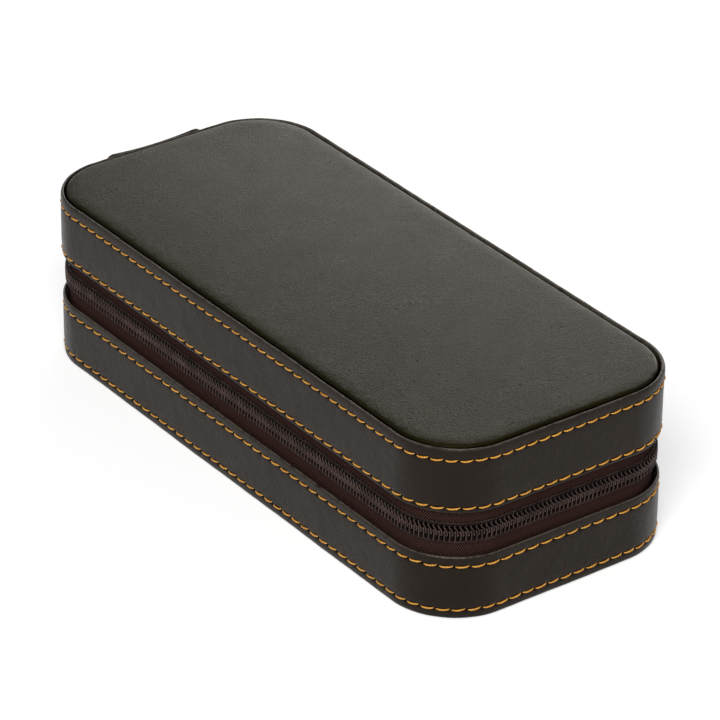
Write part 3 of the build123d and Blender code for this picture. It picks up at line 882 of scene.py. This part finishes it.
def hinge_flap():
    """Leather flap across both halves, its corners round, its ends dipped and its rows pressed in."""
    x = FLAP_HALF * np.sin(np.linspace(-math.pi / 2, math.pi / 2, 61))
    ends = round_corners(x, FLAP_HALF, 3 * MM) + 1.0 * MM * (1 - (x / FLAP_HALF) ** 2)
    inner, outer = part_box("hinge_flap_base")
    low, high = inner.z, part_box("hinge_flap_lid")[1].z + 0.2 * MM
    middle, half = (inner.y + outer.y) / 2, (outer.y - inner.y) / 2
    levels = [row[0] for row in ROWS.values()]
    return slab("hinge_flap_leather", x, low + ends, high - ends, middle, half, 0.75 * MM, 200, levels)


FLAP_NODES = ("hinge_flap_base", "hinge_flap_lid")
flap = dress(hinge_flap(), BAND_LEATHER, None, FLAP_NODES)
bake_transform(flap)


def hinge_ribbon():
    """Ribbon behind the flap, a thin slab from inside the base's band to inside the lid's."""
    low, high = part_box("hinge_ribbon_base")[0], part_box("hinge_ribbon_lid")[1]
    x = np.linspace(low.x, high.x, 15)
    bottom, top = np.full_like(x, low.z), np.full_like(x, high.z)
    middle, half = (low.y + high.y) / 2, (high.y - low.y) / 2
    return slab("hinge_ribbon_weave", x, bottom, top, middle, half, 0.25 * MM, 80)


RIBBON_NODES = ("hinge_ribbon_base", "hinge_ribbon_lid")
ribbon = dress(hinge_ribbon(), RIBBON, None, RIBBON_NODES)
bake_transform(ribbon)


# ------------------------------ linings, pad, cushions, divider


def lining(name, body, floor, rim, node):
    """Suede lining of one half: down from its rim, round a soft corner and over the floor.

    The section has the cloth's thickness, so the skin is closed; its floor rings scale to a pole.
    """
    way = 1 if rim > floor else -1
    bend, lip = 3.0 * MM, 0.25 * MM

    def skin(inset, level, radius):
        wall = np.stack([np.full(14, inset), np.linspace(rim, level + way * radius, 14)], -1)
        turn = arc((inset + radius, level + way * radius), (radius, radius), 180, 270, 8)
        turn[:, 1] = level + way * radius + way * (turn[:, 1] - (level + way * radius))
        return np.concatenate([wall, turn[1:]])

    t = stations(420)
    inside = skin(ROOM_INSET, floor, bend)
    outside = skin(ROOM_INSET - LINING_THICK, floor - way * LINING_THICK, bend + LINING_THICK)
    edge = arc((ROOM_INSET - LINING_THICK / 2, rim), (LINING_THICK / 2, lip), 180, 0, 5)[1:-1]
    edge[:, 1] = rim - way * lip + way * (edge[:, 1] - rim)
    inside[0, 1] = outside[0, 1] = rim - way * lip

    def rings(section):
        wall = round_points(t[:, None], section[:, 0], section[:, 1])
        middle = np.stack(scaled_rings(wall[:, -1], np.linspace(1, 0, 24)[1:]), 1)
        return np.concatenate([wall, middle], 1)

    top_edge = round_points(t[:, None], edge[:, 0], edge[:, 1])
    points = np.concatenate([rings(outside)[:, ::-1], top_edge, rings(inside)], 1)
    steps = np.arange(points.shape[1] + 1) * 2 * MM
    cloth = surface(name, points, True, flip=way < 0, laid=(np.append(t, PERIMETER), steps))
    return dress(cloth, LINING, body, (node,))


base_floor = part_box("base_lining")[0].z + LINING_THICK
lid_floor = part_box("lid_lining")[1].z - LINING_THICK
lining("base_lining_suede", "base", base_floor, BASE_TOP, "base_lining")
lining("lid_lining_suede", "lid", lid_floor, LID_BOTTOM, "lid_lining")


def point_rows(piece):
    """The piece's points as rows of x, y and z."""
    points = np.zeros(len(piece.data.vertices) * 3)
    piece.data.vertices.foreach_get("co", points)
    return points.reshape(-1, 3)


def row_lengths(rows):
    """Length of each row, never quite nought."""
    return np.maximum(np.linalg.norm(rows, axis=1, keepdims=True), 1e-9)


def relax(piece, voxel, pressure, cap, levels, settle=20):
    """Fills a closed skin as stuffing does: remeshed, swollen by cloth pressure, its travel capped."""
    remesh = piece.modifiers.new("even", "REMESH")
    remesh.mode = "VOXEL"
    remesh.voxel_size = voxel
    apply_modifiers(piece)
    rest = point_rows(piece)
    cloth = piece.modifiers.new("cloth", "CLOTH")
    cloth.settings.use_pressure = True
    cloth.settings.uniform_pressure_force = pressure
    cloth.settings.effector_weights.gravity = 0
    cloth.settings.quality = 6
    cloth.settings.mass = 0.2
    cloth.settings.tension_stiffness = 20
    cloth.settings.compression_stiffness = 20
    cloth.settings.bending_stiffness = 0.4
    cloth.point_cache.frame_start = 1
    cloth.point_cache.frame_end = settle
    for step in range(1, settle + 1):
        bpy.context.scene.frame_set(step)
    apply_modifiers(piece)
    bpy.context.scene.frame_set(1)
    move = point_rows(piece) - rest
    filled = rest + move * np.minimum(1, cap / row_lengths(move))
    piece.data.vertices.foreach_set("co", filled.ravel())
    smooth = piece.modifiers.new("smooth", "SUBSURF")
    smooth.levels = smooth.render_levels = levels
    apply_modifiers(piece)
    piece.data.polygons.foreach_set("use_smooth", np.ones(len(piece.data.polygons), bool))


def apply_modifiers(piece):
    """Writes the modifiers' result into the piece's own mesh."""
    graph = bpy.context.evaluated_depsgraph_get()
    made = bpy.data.meshes.new_from_object(piece.evaluated_get(graph))
    piece.modifiers.clear()
    old = piece.data
    piece.data = made
    made.name = piece.name
    if old.users == 0:
        bpy.data.meshes.remove(old)


FILLING = 0.9 * MM  # how far the cloth may swell


def pillow(name, node):
    """Watch cushion: an oval roll of suede over foam, its ends gathered in and lower.

    Across, the section is a squarish oval flat underneath; along, width and height fall off by a
    power of the distance from the middle. It starts a little small and is filled by relax().
    """
    low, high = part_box(node)
    centre = (low + high) / 2
    half_x, half_y = (high.x - low.x) / 2 - FILLING, (high.y - low.y) / 2 - FILLING
    share = np.cos(np.linspace(math.pi, 0, 46))[:, None]
    draw = np.abs(share) ** 5
    close = np.sqrt(np.maximum(1 - np.abs(share) ** 14, 0))
    angle = np.linspace(0, TURN, 64, endpoint=False)
    across, upright = squarish(np.cos(angle), 0.62), squarish(np.sin(angle), 0.72)
    belly = 7.5 * MM
    foot = belly - 0.6 * MM
    top = (high.z - low.z) - FILLING - 8.5 * MM * draw
    up = np.maximum(upright, 0) * (top - belly) * close
    down = np.maximum(np.minimum(upright, 0) * foot * close, -0.999 * foot)
    x = centre.x + (half_x - 4 * MM * draw) * close * across
    y = np.broadcast_to(centre.y + half_y * share, x.shape)
    piece = surface(name, np.stack([x, y, low.z + belly + up + down], -1), False, True, flip=True)
    relax(piece, voxel=2.6 * MM, pressure=4.0, cap=FILLING, levels=2)
    return piece


def seam(piece, offset, depth, width):
    """Draws a padded piece in along a plane across its length, as a sewn seam does."""
    points = point_rows(piece)
    centre = (points.min(0) + points.max(0)) / 2
    near = bell(points[:, 1] - centre[1] - offset, width)
    out = (points - centre) * np.array([1, 0, 1])
    points -= out / row_lengths(out) * depth * near[:, None]
    piece.data.vertices.foreach_set("co", points.ravel())


for name, node in (("front_cushion_suede", "front_pillow"), ("back_cushion_suede", "back_pillow")):
    cushion = pillow(name, node)
    for offset in (-26 * MM, 26 * MM):
        seam(cushion, offset, depth=0.7 * MM, width=0.8 * MM)
    dress(cushion, CUSHION, "base", (node,))


def lid_pad():
    """Foam pad in the lid: crowned rings that hang from the lining, sunk along one quilted line."""
    t = stations(420)
    low, high = (corner.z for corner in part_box("lid_pad"))
    inset = ROOM_INSET + 0.35 * MM
    inward = np.concatenate([np.linspace(0, 1, 10) ** 1.4 * 3.0 * MM, np.linspace(3.6, 12, 9) * MM])
    rows = [round_points(t, inset + i, 0.0) for i in inward]
    rows += scaled_rings(rows[-1], np.linspace(1, 0, 56)[1:])
    points = np.stack(rows, 1)
    x, y = points[..., 0], points[..., 1]
    edge = np.maximum(edge_distance(x, y, inset), 0)
    deep = high - low - 0.15 * MM
    roll = rolled(edge, 3.2 * MM)
    quilt = 1.4 * MM * bell(y, 1.6 * MM)
    points[..., 2] = high - deep * (0.72 * roll + 0.28 * rolled(edge, 11 * MM)) + quilt * roll
    back = scaled_rings(round_points(t, inset, high), np.linspace(0, 1, 6))
    points = np.concatenate([np.stack(back, 1), points[:, 1:]], 1)
    steps = np.arange(points.shape[1] + 1) * 2 * MM
    return surface("lid_pad_suede", points, True, flip=True, laid=(np.append(t, PERIMETER), steps))


pad = dress(lid_pad(), LINING, "lid", ("lid_pad",))


def divider():
    """Padded divider with a finger scoop: a slab whose upper edge dips along the scoop's arc."""
    low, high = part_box("centre_divider")
    half = (high.x - low.x) / 2
    even = np.linspace(-1, 1, 121)
    x = half * (0.35 * np.sin(even * math.pi / 2) + 0.65 * even)
    radius, depth = 16 * MM, 7 * MM
    inside = np.abs(x) < math.sqrt(radius**2 - (radius - depth) ** 2)
    scoop = np.where(inside, radius - depth - np.sqrt(np.maximum(radius**2 - x**2, 0)), 0)
    soft = np.convolve(np.pad(scoop, 4, mode="edge"), np.ones(9) / 9, mode="valid")
    bottom, top = np.full_like(x, low.z), high.z + soft - round_corners(x, half, 2.0 * MM)
    thick = (high.y - low.y) / 2 - 0.05 * MM
    return slab("divider_suede", x, bottom, top, 0.0, thick, 1.4 * MM, 60)


dress(divider(), LINING, "base", ("centre_divider",))


# ------------------------------ camera, floor and light


FLOOR_GLOW = 0.46
FLOOR_MIRRORED = 0.594  # share of the glow that the case mirrors


def floor_material():
    """Plain pale floor: matt white that keeps the shadow, lifted to white where it is seen or mirrored."""
    made = material("pale_floor", Roughness=1.0, Specular_IOR_Level=0.0, Base_Color=(0.8, 0.8, 0.8, 1))
    g = Graph(made)
    ray = g.node("ShaderNodeLightPath").outputs
    mirrored = g.math("MAXIMUM", ray["Is Glossy Ray"], ray["Is Transmission Ray"])
    seen = g.math("MAXIMUM", ray["Is Camera Ray"], g.math("MULTIPLY", mirrored, FLOOR_MIRRORED))
    g.shader.inputs["Emission Color"].default_value = (1, 1, 1, 1)
    g.put(g.shader.inputs["Emission Strength"], g.math("MULTIPLY", seen, FLOOR_GLOW))
    return made


bpy.ops.mesh.primitive_plane_add(size=6.0, location=(0, 0, -0.0002))
floor = bpy.context.active_object
floor.name = "pale_floor"
floor.data.materials.append(floor_material())


def studio_world():
    """Pale studio sky: bright along the horizon, darker overhead, by the height of the direction."""
    world = bpy.data.worlds.new("studio")
    world.use_nodes = True
    tree = world.node_tree
    place = tree.nodes.new("ShaderNodeTexCoord")
    split = tree.nodes.new("ShaderNodeSeparateXYZ")
    fall = tree.nodes.new("ShaderNodeMapRange")
    fall.interpolation_type = "SMOOTHSTEP"
    for index, number in enumerate((0.0, 0.62, 1.0, 0.12), 1):
        fall.inputs[index].default_value = number
    tree.links.new(place.outputs["Generated"], split.inputs[0])
    tree.links.new(split.outputs["Z"], fall.inputs[0])
    tree.links.new(fall.outputs[0], tree.nodes["Background"].inputs["Strength"])
    tree.nodes["Background"].inputs["Color"].default_value = (1, 1, 1, 1)
    return world


bpy.context.scene.world = studio_world()


def lamp(name, place, target, size, power):
    """Soft area lamp at a place, turned to a target, in metres and watts."""
    light = bpy.data.lights.new(name, "AREA")
    light.shape = "RECTANGLE"
    light.size, light.size_y = size
    light.energy = power
    made = bpy.data.objects.new(name, light)
    made.location = place
    made.rotation_euler = (Vector(target) - Vector(place)).to_track_quat("-Z", "Y").to_euler()
    bpy.context.scene.collection.objects.link(made)


lamp("key_softbox", place=(-0.75, -0.80, 1.15), target=(0, 0, 0), size=(0.7, 0.7), power=18.0)
lamp("back_softbox", place=(0.40, 0.34, 0.20), target=(0.02, 0.06, 0.05), size=(0.45, 0.2), power=0.72)

# Place, lens and shift fitted to the photograph's outline, rims and stitch rows
camera = bpy.data.objects.new("camera", bpy.data.cameras.new("camera"))
camera.location = (-0.617973, -0.839884, 0.617743)
camera.data.lens = 219.774
camera.data.sensor_width = 36.0
camera.data.shift_x = 0.012184
camera.data.shift_y = -0.007991
camera.data.clip_start, camera.data.clip_end = 0.05, 20.0
aim = (Vector((0, 0, MIDDLE)) - camera.location).to_track_quat("-Z", "Y")
roll = Euler((0, 0, math.radians(0.6106))).to_quaternion()
camera.rotation_mode = "QUATERNION"
camera.rotation_quaternion = aim @ roll
bpy.context.scene.collection.objects.link(camera)
bpy.context.scene.camera = camera

bpy.context.scene.view_settings.view_transform = "Standard"
